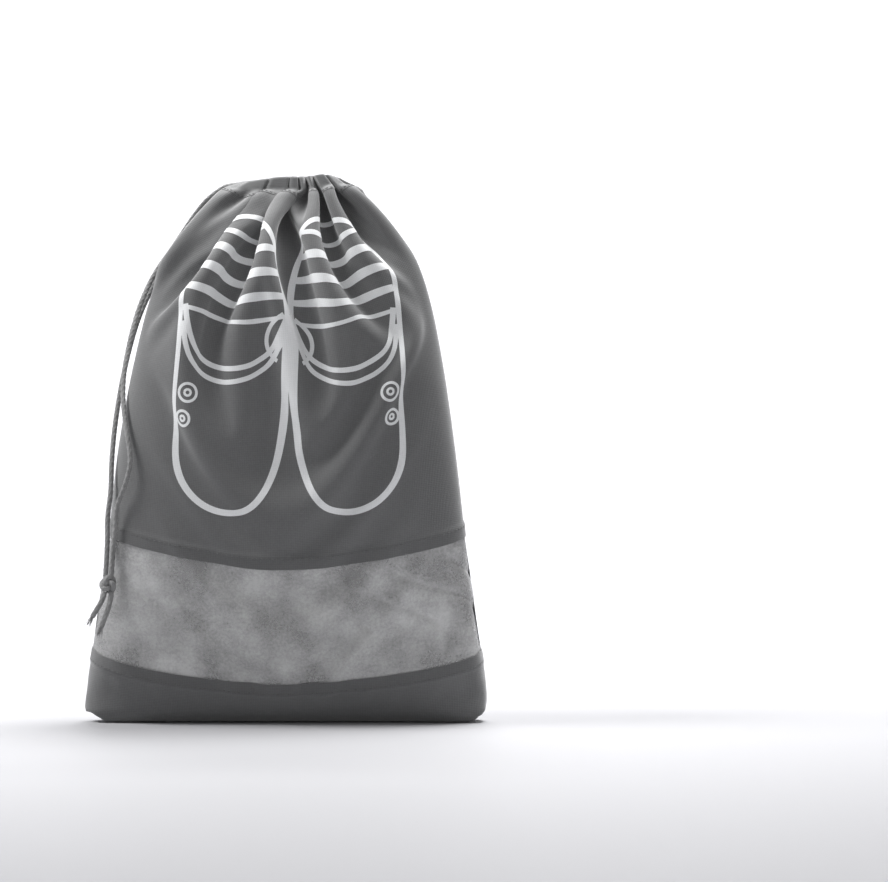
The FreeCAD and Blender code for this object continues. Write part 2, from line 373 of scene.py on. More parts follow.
# ---------------------------------------------------------------- the cloth's solver
STEPS = 1200
STEP_TIME = 1 / 450
DRAG = 0.97
MOST_ACROSS, MOST_DEEP = 0.1495, 0.0595  # the draped cloth reaches no further than this
CORNER_TAKE_UP = 0.070                  # the bottom seam's width lost in its two corner folds
FINE_CREASE_PASSES = 3                  # smoothing that takes out creases as fine as the grid
SEAM_TAKE_UP = 0.120                    # the side seams' height lost in their puckers above the belly
BENDING = [(2, 10.0), (4, 24.0)]        # cells that a bending spring spans, and how soft it is
WEIGHT = 0.4                            # metres per second squared: light cloth that its contents hold
START_NOISE = 0.0002                    # small random shifts, so that the cloth can buckle either way
CONTENTS_GRIP, GROUND_GRIP = 0.7, 0.3   # the share of its speed that touching cloth keeps
FASTEST = 1.2                           # metres per second, a limit that keeps the solver calm
SEAM_LOW = 0.06                         # the side seams are drawn in from this flat height up
PRESSED_SHARE, PRESSED_Z = 0.9, 0.002   # the contents stand on this much of the base and hold it this low
TUCK_HELD = 0.6                         # the side seams are held in this share of the tucks' depth
SEAM_SLACK = 0.003                      # and may stand this much further out


def springs(heights):
    """Groups of pairs that don't share a point: (rows a, columns a, rows b, columns b, length, softness)."""
    rows, columns = len(heights), 2 * CELLS_ACROSS
    take_up = 1 - CORNER_TAKE_UP * (1 - smooth_step(heights, 0, 0.05))
    width = FLAT_WIDTH / CELLS_ACROSS * take_up[:, None]
    up = np.diff(heights)
    every = np.arange(columns)
    groups = []

    def along_rows(reach, softness):
        for first in range(2):
            a = every[(every // reach) % 2 == first]
            if reach > 1:
                a = a[(a % CELLS_ACROSS) + reach <= CELLS_ACROSS]
            b = (a + reach) % columns
            r = np.arange(rows)
            groups.append((r[:, None], a[None], r[:, None], b[None], reach * width, softness))

    from_seam = np.minimum(every % CELLS_ACROSS, -every % CELLS_ACROSS) * FLAT_WIDTH / CELLS_ACROSS
    above_belly = smooth_step(heights, 0.18, 0.26)[:, None]
    shrink = SEAM_TAKE_UP * above_belly * (1 - smooth_step(from_seam, 0.012, 0.060))

    def up_columns(reach, softness):
        for first in range(2):
            r = np.arange(rows - reach)
            r = r[(r // reach) % 2 == first]
            length = (heights[r + reach] - heights[r])[:, None] * (1 - shrink[r])
            groups.append((r[:, None], every[None], (r + reach)[:, None], every[None], length, softness))

    def diagonals(softness):
        for first in range(2):
            r = np.arange(first, rows - 1, 2)
            length = np.hypot(up[r][:, None], width[r])
            for side in (1, -1):
                b = (every + side) % columns
                groups.append((r[:, None], every[None], (r + 1)[:, None], b[None], length, softness))

    along_rows(1, 0.0)
    up_columns(1, 0.0)
    diagonals(1.0)
    for reach, softness in BENDING:
        along_rows(reach, softness)
        up_columns(reach, softness)
    return groups


def push_out(cloth, profile):
    """Moves the points that are inside the contents out of them."""
    z = cloth[..., 2]
    y = cloth[..., 1]
    half_depth = np.interp(z, profile[:, 0], profile[:, 2]) * np.interp(z, *FILLED_DEPTH)
    middle = np.interp(z, profile[:, 0], profile[:, 3])
    tuck = np.interp(z, profile[:, 0], profile[:, 4]) * np.exp(-(y / TUCK_SPREAD) ** 2)
    half_width = np.interp(z, profile[:, 0], profile[:, 1]) - 0.001 - tuck
    half_width *= np.interp(z, *FILLED_WIDTH)
    u, v = (cloth[..., 0] - middle) / half_width, y / half_depth
    inside = np.abs(u) ** SQUARENESS + np.abs(v) ** SQUARENESS
    slope_x = SQUARENESS * np.abs(u) ** (SQUARENESS - 1) * np.sign(u) / half_width
    slope_y = SQUARENESS * np.abs(v) ** (SQUARENESS - 1) * np.sign(v) / half_depth
    move = np.clip(1 - inside, 0, None) / (slope_x ** 2 + slope_y ** 2 + 40.0)
    move[z < 0.004] = 0
    cloth[..., 0] += slope_x * move
    cloth[..., 1] += slope_y * move
    return move > 0


def pull_seams_in(cloth, profile, free):
    """Holds both side seams in the tucks. This shapes the sides directly, and isn't a physical force."""
    for column, side in ((0, -1), (CELLS_ACROSS, 1)):
        z = cloth[free, column, 2]
        middle = np.interp(z, profile[:, 0], profile[:, 3])
        reach = np.interp(z, profile[:, 0], profile[:, 1] - TUCK_HELD * profile[:, 4])
        from_middle = side * (cloth[free, column, 0] - middle)
        cloth[free, column, 0] = middle + side * np.minimum(from_middle, reach + SEAM_SLACK)


def drape(heights, profile):
    """The cloth at rest: rows by columns by three."""
    cloth = start_shape(heights, profile)
    pinned = heights >= PINNED_FROM
    held = cloth[pinned].copy()
    rng = np.random.default_rng(7)
    cloth[~pinned] += rng.normal(0, START_NOISE, cloth[~pinned].shape)
    weight = np.where(pinned, 0.0, 1.0)[:, None]
    speed = np.zeros_like(cloth)
    groups = springs(heights)
    columns = 2 * CELLS_ACROSS
    partner = (-np.arange(columns)) % columns
    front = (np.arange(columns) > 0) & (np.arange(columns) < CELLS_ACROSS)
    back = np.arange(columns) > CELLS_ACROSS
    under = heights < 0.8 * UNDER
    seam_rows = (heights > SEAM_LOW) & ~pinned
    pressed = PRESSED_SHARE * profile[0, 1]
    for _ in range(STEPS):
        speed[..., 2] -= WEIGHT * STEP_TIME
        speed *= DRAG
        before = cloth.copy()
        cloth += speed * STEP_TIME
        for ra, ca, rb, cb, length, softness in groups:
            a, b = cloth[ra, ca], cloth[rb, cb]
            gap = b - a
            size = np.sqrt((gap * gap).sum(-1)) + 1e-9
            wa, wb = weight[ra, 0], weight[rb, 0]
            pull = (size - length) / (wa + wb + softness + 1e-6) / size
            cloth[ra, ca] = a + gap * (pull * wa)[..., None]
            cloth[rb, cb] = b - gap * (pull * wb)[..., None]
        cloth[0] = (cloth[0] + cloth[0][partner]) / 2
        cloth[0, :, 1] *= 0.5
        touching = push_out(cloth, profile)
        pull_seams_in(cloth, profile, seam_rows)
        base = cloth[under, :, 2]
        cloth[under, :, 2] = np.where(np.abs(cloth[under, :, 0]) < pressed, np.minimum(base, PRESSED_Z), base)
        low = cloth[..., 2] < CLEAR
        cloth[..., 2] = np.maximum(cloth[..., 2], CLEAR)
        cloth[..., 0] = np.clip(cloth[..., 0], -MOST_ACROSS, MOST_ACROSS)
        cloth[..., 1] = np.clip(cloth[..., 1], -MOST_DEEP, MOST_DEEP)
        cloth[:, front, 1] = np.minimum(cloth[:, front, 1], -CLEAR)
        cloth[:, back, 1] = np.maximum(cloth[:, back, 1], CLEAR)
        cloth[0, :, 1] = 0
        cloth[pinned] = held
        speed = (cloth - before) / STEP_TIME
        speed[touching] *= CONTENTS_GRIP
        speed[low] *= GROUND_GRIP
        fast = np.sqrt((speed * speed).sum(-1, keepdims=True))
        speed *= np.minimum(1, FASTEST / (fast + 1e-9))
    first, last = np.searchsorted(heights, UNDER), int(np.argmax(pinned))
    for _ in range(FINE_CREASE_PASSES):
        below, above = cloth[first - 1:last - 1], cloth[first + 1:last + 1]
        cloth[first:last] = (below + 2 * cloth[first:last] + above) / 4
    return cloth


# ---------------------------------------------------------------- places on the draped panels
def cubic_weights(f):
    """The shares of four neighbouring points in a curve, at a part f of the way between the middle two."""
    return (f * (-0.5 + f * (1 - 0.5 * f)),
            1 + f * f * (1.5 * f - 2.5),
            f * (0.5 + f * (2 - 1.5 * f)),
            f * f * (0.5 * f - 0.5))


class Panel:
    """One panel of the draped cloth: the place and outward normal at (s, t) on the flat cloth, in metres."""

    def __init__(self, rows, heights):
        left, right = 2 * rows[:, :1] - rows[:, 1:2], 2 * rows[:, -1:] - rows[:, -2:-1]
        rows = np.concatenate([left, rows, right], axis=1)
        self.grid = np.concatenate([2 * rows[:1] - rows[1:2], rows, 2 * rows[-1:] - rows[-2:-1]])
        self.heights = heights

    def place(self, s, t):
        u = np.clip(s / FLAT_WIDTH, 0, 1) * CELLS_ACROSS
        v = np.interp(t, self.heights, np.arange(len(self.heights)))
        i = np.minimum(u.astype(int), CELLS_ACROSS - 1)
        j = np.minimum(v.astype(int), len(self.heights) - 2)
        spot = 0
        for a, share_a in enumerate(cubic_weights(u - i)):
            for b, share_b in enumerate(cubic_weights(v - j)):
                spot = spot + self.grid[j + b, i + a] * (share_a * share_b)[..., None]
        return spot

    def normal(self, s, t, step=0.0012):
        across = self.place(s + step, t) - self.place(s - step, t)
        up = self.place(s, t + step) - self.place(s, t - step)
        out = np.cross(across, up)
        return out / (np.linalg.norm(out, axis=-1)[..., None] + 1e-12)

    def lifted(self, s, t, lift):
        s, t, lift = np.broadcast_arrays(s, t, lift)
        return self.place(s, t) + self.normal(s, t) * lift[..., None]


# ---------------------------------------------------------------- meshes on the flat cloth's coordinates
class Mesh:
    """Grids of points with their flat places, gathered into one object."""

    def __init__(self):
        self.points, self.flat, self.faces, self.rims = [], [], [], []
        self.count = 0

    def add_points(self, points, s, t, rim):
        shape = points.shape[:2]
        index = self.count + np.arange(shape[0] * shape[1]).reshape(shape)
        self.points.append(points.reshape(-1, 3))
        self.flat.append(np.stack(np.broadcast_arrays(s, t), axis=-1).reshape(-1, 2))
        self.rims.append(np.broadcast_to(rim, shape).reshape(-1))
        self.count += index.size
        return index

    def add_quads(self, index):
        """Faces between neighbouring rows and columns of a grid of point numbers."""
        corners = (index[:-1, :-1], index[:-1, 1:], index[1:, 1:], index[1:, :-1])
        self.faces += np.stack(corners, axis=-1).reshape(-1, 4).tolist()

    def add_layer(self, panel, s, t, top, bottom):
        """A closed layer over the flat places s by t, between two lifts above the draped panel."""
        rim = np.zeros(s.shape, bool)
        rim[[0, -1], :] = True
        rim[:, [0, -1]] = True
        outer = self.add_points(panel.lifted(s, t, top), s, t, rim)
        inner = self.add_points(panel.lifted(s, t, bottom), s, t, rim)
        self.add_quads(outer)
        self.add_quads(inner[:, ::-1])
        round_outer = np.r_[outer[0, :-1], outer[:-1, -1], outer[-1, :0:-1], outer[::-1, 0]]
        round_inner = np.r_[inner[0, :-1], inner[:-1, -1], inner[-1, :0:-1], inner[::-1, 0]]
        self.add_quads(np.stack([round_inner, round_outer]))

    def build(self, name, material):
        flat = np.concatenate(self.flat)
        piece = new_object(name, np.concatenate(self.points), self.faces, material)
        mesh = piece.data
        corner = np.empty(len(mesh.loops), np.int32)
        mesh.loops.foreach_get("vertex_index", corner)
        uv = mesh.uv_layers.new(name="flat")
        uv.data.foreach_set("uv", flat[corner].astype(np.float32).ravel())
        ends = np.empty(2 * len(mesh.edges), np.int32)
        mesh.edges.foreach_get("vertices", ends)
        rim = np.concatenate(self.rims)[ends.reshape(-1, 2)].all(axis=1)
        sharp = mesh.attributes.new("sharp_edge", "BOOLEAN", "EDGE")
        sharp.data.foreach_set("value", rim)
        return piece


def bowed(s, t):
    """Heights on the flat panel that rise towards the side seams, most round the window."""
    rise = WINDOW_RISE * (2 * s / FLAT_WIDTH - 1) ** 2
    return t + rise * smooth_step(t, 0, WINDOW_LOW - 0.012) * smooth_step(-t, -LEVEL_FROM, -WINDOW_HIGH - HEM)


def layer(name, panel, s_range, t_range, top, thickness, material, cell=0.0016, wave=None, hem=None):
    """One closed layer of cloth or film.

    top is its outer side's lift above the panel, as a number or by flat place. wave adds to that lift, and
    hem is the range of flat heights where the cloth is doubled.
    """
    columns, rows = [np.linspace(low, high, max(3, int(round((high - low) / cell)) + 1))
                     for low, high in (s_range, t_range)]
    s, t = np.meshgrid(columns, rows)
    lift = np.full(s.shape, top) if not callable(top) else top(s, t)
    if wave:
        lift = lift + wave(s, t)
    if panel is front:
        t = bowed(s, t)
    mesh = Mesh()
    mesh.add_layer(panel, s, t, lift, lift - thickness)
    piece = mesh.build(name, material)
    if hem:
        middle = (rows[:-1] + rows[1:]) / 2
        doubled = np.repeat((middle > hem[0]) & (middle < hem[1]), s.shape[1] - 1)
        piece.data.materials.append(HEM_MATERIAL)
        finish = np.zeros(len(piece.data.polygons), np.int32)
        finish[:2 * len(doubled)] = np.tile(doubled, 2)
        piece.data.polygons.foreach_set("material_index", finish)
    return piece


def stitch_row(name, panel, t, lift, pitch=0.0036, length=0.0027):
    """A row of thread stitches along the flat panel at height t."""
    mesh = Mesh()
    angle = np.linspace(0, 2 * math.pi, 7)[None]
    ends = np.linspace(0, 1, 6)[:, None]
    plump = np.sqrt(np.clip(1 - (2 * ends - 1) ** 4, 0.02, 1))
    for start in np.arange(0.002, FLAT_WIDTH - 0.002 - length, pitch):
        s = start + length * ends + 0 * angle
        along_t = (bowed(s, t) if panel is front else t) + STITCH_WIDTH / 2 * np.cos(angle) * plump
        height = lift + STITCH_HEIGHT * (np.sin(angle) * plump + 0.8 * plump - 0.8)
        index = mesh.add_points(panel.lifted(s, along_t, height), s, along_t, False)
        mesh.add_quads(index)
    return mesh.build(name, THREAD_MATERIAL)


INNER_Y = 0.0070                        # where the channel's inner side stands, front and back
INNER_ENDS = 0.035                      # it comes to the side seams over this much cloth
INNER_PASSES = 260                      # smoothing that leaves the pleats on the outer side only


def channel(name, panel, side):
    """The gathered channel, a closed tube of cloth: up the outside, over the top, down the inside."""
    s = np.linspace(0, FLAT_WIDTH, 2 * CELLS_ACROSS + 1)
    outer_t = np.linspace(CHANNEL_LOW, FLAT_HEIGHT, 11)
    outer = panel.lifted(s[None], outer_t[:, None], 0.0003)
    top = outer[-1]
    inner = top.copy()
    for _ in range(INNER_PASSES):
        inner[1:-1] = (inner[:-2] + 2 * inner[1:-1] + inner[2:]) / 4
    ends = np.clip(np.minimum(s, FLAT_WIDTH - s) / INNER_ENDS, 0, 1) ** 0.6
    inner[:, 1] = side * (INNER_Y + 0.0006 * np.sin(s * 190)) * ends + top[[0, -1], 1].mean() * (1 - ends)
    inner[:, 2] -= 0.0006
    foot = panel.lifted(s, np.full_like(s, CHANNEL_LOW), -0.0010)
    over = [top * (1 - k) + inner * k + np.array((0, 0, 0.0013 * math.sin(math.pi * k)))
            for k in (0.2, 0.5, 0.8)]
    down = [inner * (1 - k) + foot * k for k in (0, 0.15, 0.35, 0.6, 0.85, 1)]
    rows = np.concatenate([outer, np.array(over), np.array(down), outer[:1]])
    t = np.r_[outer_t, FLAT_HEIGHT + 0.0016 * np.arange(1, len(over) + len(down) + 2)]
    mesh = Mesh()
    mesh.add_quads(mesh.add_points(rows, s[None], t[:, None], False))
    return mesh.build(name, CLOTH_MATERIAL)


# ---------------------------------------------------------------- materials
class Look:
    """A node material. add() makes a node, sets or links its inputs, and returns one of its outputs."""

    def __init__(self, name):
        self.material = bpy.data.materials.new(name)
        self.material.use_nodes = True
        self.tree = self.material.node_tree
        self.tree.nodes.clear()

    def add(self, kind, inputs=(), output=0, **settings):
        node = self.tree.nodes.new("ShaderNode" + kind)
        for key, value in settings.items():
            setattr(node, key, value)
        for key, value in dict(inputs).items():
            if isinstance(value, bpy.types.NodeSocket):
                self.tree.links.new(value, node.inputs[key])
            else:
                node.inputs[key].default_value = value
        return node.outputs[output]

    def math(self, operation, a, b=0.0):
        return self.add("Math", {0: a, 1: b}, operation=operation)

    def noise(self, place, scale, detail=3.0, roughness=0.5):
        return self.add("TexNoise", {"Vector": place, "Scale": scale, "Detail": detail,
                                     "Roughness": roughness})

    def between(self, value, low, high, colour_low, colour_high):
        """A colour that goes from one to the other as value goes from low to high."""
        share = self.add("MapRange", {"Value": value, "From Min": low, "From Max": high})
        return self.add("Mix", {"Factor": share, 6: (*colour_low, 1), 7: (*colour_high, 1)}, output=2,
                        data_type="RGBA")

    def surface(self, **inputs):
        """Finishes the material with a Principled shader that has the given inputs."""
        names = {key.replace("_", " "): value for key, value in inputs.items()}
        shader = self.add("BsdfPrincipled", names)
        output = self.tree.nodes.new("ShaderNodeOutputMaterial")
        self.tree.links.new(shader, output.inputs["Surface"])
        return self.material


def grey(level, warm=0.0):
    """A near-neutral colour from a display level of 0 to 255."""
    linear = (level / 255) ** 2.2
    return (linear * (1 + warm), linear, linear * (1 - warm))


EMBOSS_PITCH = 0.0026


def embossed(look, flat):
    """The bonded cloth's height: a fine diamond emboss over loose fibres."""
    s = look.add("SeparateXYZ", {"Vector": flat}, "X")
    t = s.node.outputs["Y"]
    pitch = 2 * math.pi / EMBOSS_PITCH
    rising = look.math("SINE", look.math("MULTIPLY", look.math("ADD", s, t), pitch))
    falling = look.math("SINE", look.math("MULTIPLY", look.math("SUBTRACT", s, t), pitch))
    diamonds = look.math("MULTIPLY", rising, falling)
    fibres = look.noise(flat, 900.0, 4.0, 0.65)
    return look.math("ADD", look.math("MULTIPLY", diamonds, 0.5), fibres)


def cloth_material(name, low, high, roughness=0.88):
    look = Look(name)
    flat = look.add("UVMap", uv_map="flat")
    height = embossed(look, flat)
    broad = look.noise(flat, 9.0, 3.0)
    fine = look.noise(flat, 420.0, 3.0, 0.7)
    tone = look.math("ADD", look.math("MULTIPLY", broad, 0.45),
                     look.math("ADD", look.math("MULTIPLY", fine, 0.35), look.math("MULTIPLY", height, 0.26)))
    colour = look.between(tone, 0.28, 0.72, low, high)
    normal = look.add("Bump", {"Height": height, "Strength": 0.7, "Distance": 0.00014})
    rough = look.add("MapRange", {"Value": fine, "From Min": 0.3, "From Max": 0.7, "To Min": roughness - 0.08,
                                  "To Max": roughness + 0.06})
    return look.surface(Base_Color=colour, Roughness=rough, Normal=normal, Sheen_Weight=0.60,
                        Sheen_Roughness=0.45, Specular_IOR_Level=0.25)


def film_material():
    look = Look("clear_film")
    flat = look.add("UVMap", uv_map="flat")
    cloudy = look.noise(flat, 26.0, 4.0, 0.55)
    grain = look.noise(flat, 480.0, 2.0, 0.8)
    tone = look.math("ADD", look.math("MULTIPLY", cloudy, 0.72), look.math("MULTIPLY", grain, 0.28))
    haze = look.add("MapRange", {"Value": tone, "From Min": 0.38, "From Max": 0.62,
                                 "To Min": 0.36, "To Max": 0.53})
    wrinkle = look.add("TexNoise", {"Vector": flat, "Scale": 46.0, "Detail": 3.0, "Distortion": 1.8})
    normal = look.add("Bump", {"Height": wrinkle, "Strength": 0.7, "Distance": 0.0016})
    smear = look.add("MapRange", {"Value": look.noise(flat, 90.0), "From Min": 0.3, "From Max": 0.7,
                                  "To Min": 0.12, "To Max": 0.34})
    colour = look.between(tone, 0.38, 0.62, grey(196), grey(232))
    return look.surface(Base_Color=colour, Alpha=haze, Roughness=smear, Normal=normal, IOR=1.49,
                        Specular_IOR_Level=0.8)


def thread_material():
    look = Look("sewing_thread")
    flat = look.add("UVMap", uv_map="flat")
    s = look.add("SeparateXYZ", {"Vector": flat})
    twist = look.math("SINE", look.math("MULTIPLY", s, 2 * math.pi / 0.0005))
    colour = look.between(look.noise(flat, 700.0), 0.3, 0.7, grey(80), grey(108))
    normal = look.add("Bump", {"Height": twist, "Strength": 0.5, "Distance": 0.00008})
    return look.surface(Base_Color=colour, Roughness=0.7, Normal=normal, Sheen_Weight=0.2)


def cord_material():
    look = Look("braided_cord")
    place = look.add("TexCoord", output=3)
    fibres = look.noise(place, 2600.0, 4.0, 0.7)
    broad = look.noise(place, 60.0)
    tone = look.math("ADD", look.math("MULTIPLY", fibres, 0.6), look.math("MULTIPLY", broad, 0.4))
    colour = look.between(tone, 0.3, 0.7, grey(106), grey(158))
    normal = look.add("Bump", {"Height": fibres, "Strength": 0.5, "Distance": 0.00018})
    return look.surface(Base_Color=colour, Roughness=0.82, Normal=normal, Sheen_Weight=0.3,
                        Sheen_Roughness=0.5, Specular_IOR_Level=0.25)


CLOTH_MATERIAL = cloth_material("nonwoven_cloth", grey(96, -0.01), grey(116, -0.01))
HEM_MATERIAL = cloth_material("nonwoven_hem", grey(92, -0.01), grey(110, -0.01))
INK_MATERIAL = cloth_material("printed_ink", grey(226, -0.012), grey(240, -0.012), 0.72)
FILM_MATERIAL = film_material()
THREAD_MATERIAL = thread_material()
CORD_MATERIAL = cord_material()


# ---------------------------------------------------------------- the cloth pieces
heights = row_heights()
cloth = drape(heights, wall_profile())
front = Panel(cloth[:, :CELLS_ACROSS + 1], heights)
back = Panel(np.concatenate([cloth[:, CELLS_ACROSS:], cloth[:, :1]], axis=1), heights)

WHOLE_WIDTH = (0.0, FLAT_WIDTH)
HEM_WIDTH = (0.002, FLAT_WIDTH - 0.002)
HEM_PROUD = 0.0008                      # how far the doubled cloth stands out
STITCH_WIDTH, STITCH_HEIGHT = 0.0005, 0.00035
ALLOWANCE = 0.009
ALLOWANCE_IN = 0.0030                   # the side allowances start this far from the seam
ALLOWANCE_UP = (0.004, CHANNEL_LOW - 0.004)


def hem_lift(edge, inward):
    """The outer cloth stands a little proud where its hem is doubled behind it."""
    def lift(s, t):
        return HEM_PROUD * (1 - smooth_step((t - edge) * inward, HEM - 0.001, HEM + 0.002))
    return lift


def film_wave(s, t):
    """Creases and dents of the film, still at its sewn edges."""
    open_part = (smooth_step(t, WINDOW_LOW, WINDOW_LOW + 0.014)
                 * smooth_step(-t, -WINDOW_HIGH, -WINDOW_HIGH + 0.014))
    right = smooth_step(s, 0.17, 0.29)
    slow = np.sin(41 * s + 60 * t + 1.3) * np.sin(95 * t - 22 * s + 0.4)
    crease = 1 - np.abs(np.sin(70 * s + 55 * t + 1.6 * np.sin(60 * t)))
    return open_part * (0.0007 * slow - (0.0004 + 0.0014 * right) * crease ** 3)


back_cloth = layer("back_cloth", back, WHOLE_WIDTH, (0.0, CHANNEL_LOW), 0.0, CLOTH, CLOTH_MATERIAL)
front_upper = layer("front_upper_cloth", front, WHOLE_WIDTH, (WINDOW_HIGH, CHANNEL_LOW),
                    hem_lift(WINDOW_HIGH, 1), CLOTH, CLOTH_MATERIAL, hem=(WINDOW_HIGH, WINDOW_HIGH + HEM))
lower_band = layer("lower_band_cloth", front, WHOLE_WIDTH, (0.0, WINDOW_LOW),
                   hem_lift(WINDOW_LOW, -1), CLOTH, CLOTH_MATERIAL, hem=(WINDOW_LOW - HEM, WINDOW_LOW))
window_film = layer("window_film", front, WHOLE_WIDTH,
                    (WINDOW_LOW - STITCH_INSET, WINDOW_HIGH + STITCH_INSET), -0.0001, FILM, FILM_MATERIAL,
                    wave=film_wave)
top_hem = layer("window_top_hem_cloth", front, HEM_WIDTH, (WINDOW_HIGH + 0.0003, WINDOW_HIGH + HEM),
                -0.0006, CLOTH, HEM_MATERIAL)
bottom_hem = layer("window_bottom_hem_cloth", front, HEM_WIDTH, (WINDOW_LOW - HEM, WINDOW_LOW - 0.0003),
                   -0.0006, CLOTH, HEM_MATERIAL)
right_allowance = layer("right_seam_allowance_cloth", back, (ALLOWANCE_IN, ALLOWANCE), ALLOWANCE_UP,
                        -0.0006, 1.6 * CLOTH, HEM_MATERIAL)
left_allowance = layer("left_seam_allowance_cloth", back,
                       (FLAT_WIDTH - ALLOWANCE, FLAT_WIDTH - ALLOWANCE_IN), ALLOWANCE_UP,
                       -0.0006, 1.6 * CLOTH, HEM_MATERIAL)
bottom_allowance = layer("bottom_seam_allowance_cloth", back, (0.010, FLAT_WIDTH - 0.010),
                         (0.001, ALLOWANCE), -0.0007, 2 * CLOTH, HEM_MATERIAL)

front_channel = channel("front_mouth_channel_cloth", front, -1)
back_channel = channel("back_mouth_channel_cloth", back, 1)

top_stitches = stitch_row("window_top_stitches", front, WINDOW_HIGH + STITCH_INSET, HEM_PROUD)
bottom_stitches = stitch_row("window_bottom_stitches", front, WINDOW_LOW - STITCH_INSET, HEM_PROUD)
front_stitches = stitch_row("front_channel_stitches", front, CHANNEL_LOW + 0.0014, 0.0003)
back_stitches = stitch_row("back_channel_stitches", back, CHANNEL_LOW + 0.0014, 0.0003)


# ---------------------------------------------------------------- the print: a plain pair of shoes, mirrored
PRINT_MIDDLE = FLAT_WIDTH / 2 + 0.002
# One shoe in millimetres, across from the middle line and up the flat panel. A lace line also has its width,
# and an eyelet its radius. The widths along the other lines are listed at even steps.
OUTLINE = [(3, 325), (6, 345), (14, 372), (30, 394), (56, 403), (82, 397), (99, 378), (103, 352),
           (97, 325), (89, 290), (88, 240), (86, 205), (70, 183), (46, 175), (23, 183), (9, 212),
           (4, 250), (2.5, 290), (3, 325)]
OUTLINE_WIDTHS = (6.5, 6.5, 5.2, 4.6, 5.2, 3.6, 3.8, 4.2, 4.0, 3.6, 6.5)
TOE_CAP = [(4, 322), (11, 300), (28, 286), (48, 282), (70, 287), (85, 302), (93, 324)]
TOE_CAP_LOW = [(4, 312), (12, 290), (29, 277), (50, 272), (72, 278), (86, 293), (91, 312)]
LACES = [
    ([(6, 322), (24, 317), (46, 316), (68, 322), (93, 322)], 3.6),
    ([(6, 337), (28, 335), (50, 330), (74, 338), (98, 338)], 6.5),
    ([(9, 354), (34, 352), (56, 347), (80, 356), (100, 355)], 7.0),
    ([(16, 371), (38, 369), (60, 366), (82, 373), (98, 371)], 6.5),
    ([(26, 387), (46, 384), (66, 383), (88, 387)], 4.5),
]
TONGUE_LOOP = [(7, 324), (15, 318), (20, 306), (17, 294), (10, 290)]
EYELETS = [(78, 262, 6.5), (80, 243, 5.5)]


def ribbon(mesh, line, widths, side, lift):
    """A printed line over the draped front, in flat millimetres. side is -1 for the left shoe."""
    line = evenly(np.c_[line, np.zeros(len(line))], 1.2)[:, :2] * MM
    tangent = np.gradient(line, axis=0)
    tangent /= np.linalg.norm(tangent, axis=1)[:, None]
    across = np.c_[-tangent[:, 1], tangent[:, 0]]
    share = np.linspace(0, 1, len(line))
    width = np.interp(share, np.linspace(0, 1, len(widths)), widths)[:, None, None] * MM
    spots = line[:, None] + across[:, None] * width * np.linspace(-0.5, 0.5, 5)[None, :, None]
    spots = spots[:, ::side]
    mesh.add_layer(front, PRINT_MIDDLE + side * spots[..., 0], spots[..., 1], lift, -0.0001)


def smooth(points):
    """A smooth line, in flat millimetres, that the given points steer."""
    return nurbs_line([(x, y, 0.0) for x, y in points])[:, :2]


print_mesh = Mesh()
for side in (1, -1):
    ribbon(print_mesh, smooth(OUTLINE)[::-1], OUTLINE_WIDTHS, side, 0.00016)
    ribbon(print_mesh, smooth(TOE_CAP), (4.6, 3.6, 3.8, 3.6, 4.4), side, 0.00018)
    ribbon(print_mesh, smooth(TOE_CAP_LOW), (5.4, 3.4, 3.6, 3.4, 4.0), side, 0.00019)
    ribbon(print_mesh, smooth(TONGUE_LOOP), (3.0, 3.0), side, 0.00021)
    for points, width in LACES:
        widths = (width * 0.7, width, width * 0.8, width, width * 0.8)
        ribbon(print_mesh, smooth(points), widths, side, 0.00017)
    for x, y, radius in EYELETS:
        turn = np.linspace(0, 2 * math.pi, 40)
        for reach, width in ((radius, 2.0), (0.35 * radius, 1.8)):
            ring = np.c_[x + reach * np.cos(turn), y + reach * np.sin(turn)]
            ribbon(print_mesh, ring, (width, width), side, 0.00017)
shoe_print = print_mesh.build("shoe_print", INK_MATERIAL)


# ---------------------------------------------------------------- the cord, its knot and its frayed ends
IN_FRONT_CHANNEL = [
    (EXIT_X, -EXIT_Y, CORD_Z), (-0.040, -0.0075, 0.3945), (-0.030, -0.0092, 0.3950),
    (-0.010, -0.0095, 0.3955), (0.015, -0.0095, 0.3960), (0.034, -0.0092, 0.3950),
    (0.043, -0.0060, 0.3935),
]
KNOT_MIDDLE = np.array((-0.1283, -0.0362, (KNOT_TOP_Z + KNOT_LOW_Z) / 2))

front_drawcord, _ = cord_piece("front_drawcord", IN_FRONT_CHANNEL, 0.0010)
back_drawcord, _ = cord_piece("back_drawcord", [(x, -y, z) for x, y, z in IN_FRONT_CHANNEL], 0.0010)
tail_front, tail_front_line = cord_piece("front_tail", TAIL_FRONT)
tail_rear, tail_rear_line = cord_piece("rear_tail", TAIL_REAR)
end_short, end_short_line = cord_piece("short_end", END_SHORT)
end_long, end_long_line = cord_piece("long_end", END_LONG)


def knot_line():
    """An overhand knot drawn tight: a three-lobed loop of the cord round its own middle."""
    turn = np.linspace(0, 2 * math.pi, 300)
    reach = 0.0031 + 0.0015 * np.cos(3 * turn)
    return KNOT_MIDDLE + np.stack([reach * np.sin(2 * turn + 0.4), 0.0019 * np.sin(3 * turn),
                                   1.12 * reach * np.cos(2 * turn + 0.4)], axis=1)


knot_vertices, knot_faces = braided_tube(evenly(knot_line(), 0.0005), 0.0021)
knot = new_object("tied_knot", knot_vertices, knot_faces, CORD_MATERIAL)


